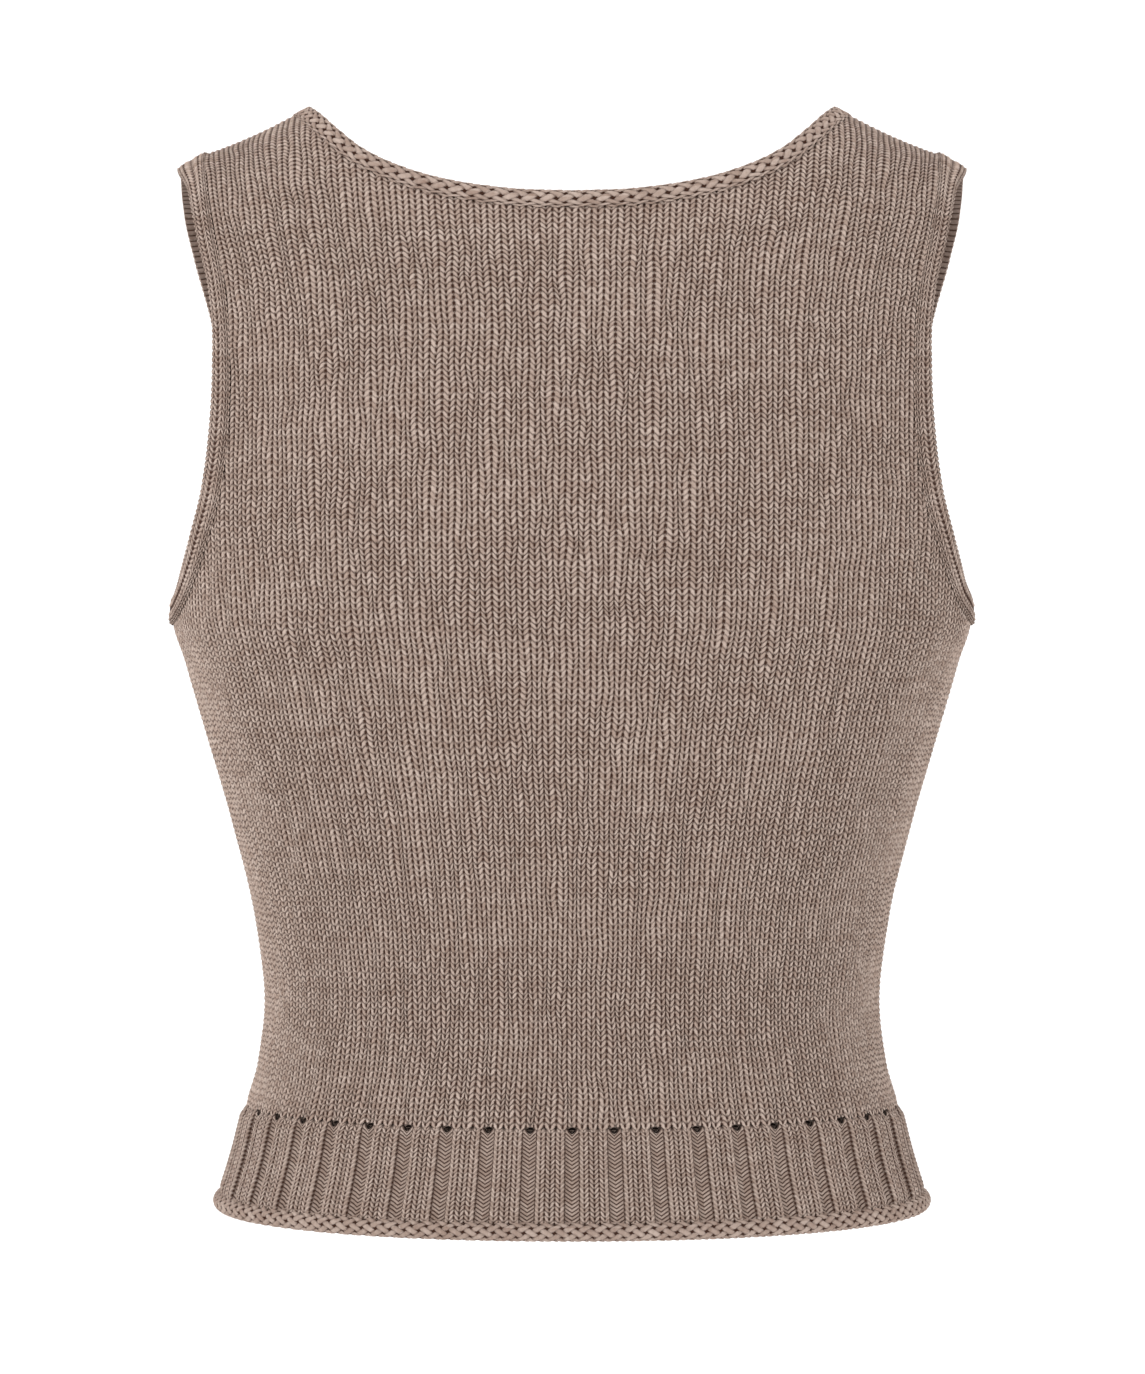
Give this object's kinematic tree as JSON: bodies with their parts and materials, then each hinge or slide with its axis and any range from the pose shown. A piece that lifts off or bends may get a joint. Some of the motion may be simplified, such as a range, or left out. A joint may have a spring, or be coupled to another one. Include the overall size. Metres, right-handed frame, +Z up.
{
  "type": "knitted sleeveless sweater vest, worn form with no wearer",
  "caption": "Cropped sleeveless knitted vest filled out as worn, with a scooped neck, chain edged armholes, a wide ribbed hem with eyelets and a curled hem edge.",
  "frame": {"origin": "middle of the shoulder line, at the level where the neck edge meets the shoulder seams: where the wearer's shoulders hold the garment up", "axes": "+Z up towards the neck, +Y out of the back panel, +X towards the armhole on the wearer's left"},
  "size_m": [0.3384, 0.223, 0.4636],
  "materials": {
    "knit": "soft taupe stockinette knit, matt with a light nap",
    "rib": "taupe wide rib knit with eyelets, matt",
    "trim": "taupe chain edging, matt"
  },
  "bodies": {
    "root": {"back_body": "knit", "front_body": "knit", "back_hem_rib": "rib", "front_hem_rib": "rib", "hem_edge": "rib", "neck_trim": "trim", "armhole_trim_left": "trim", "armhole_trim_right": "trim"}
  },
  "joints": []
}
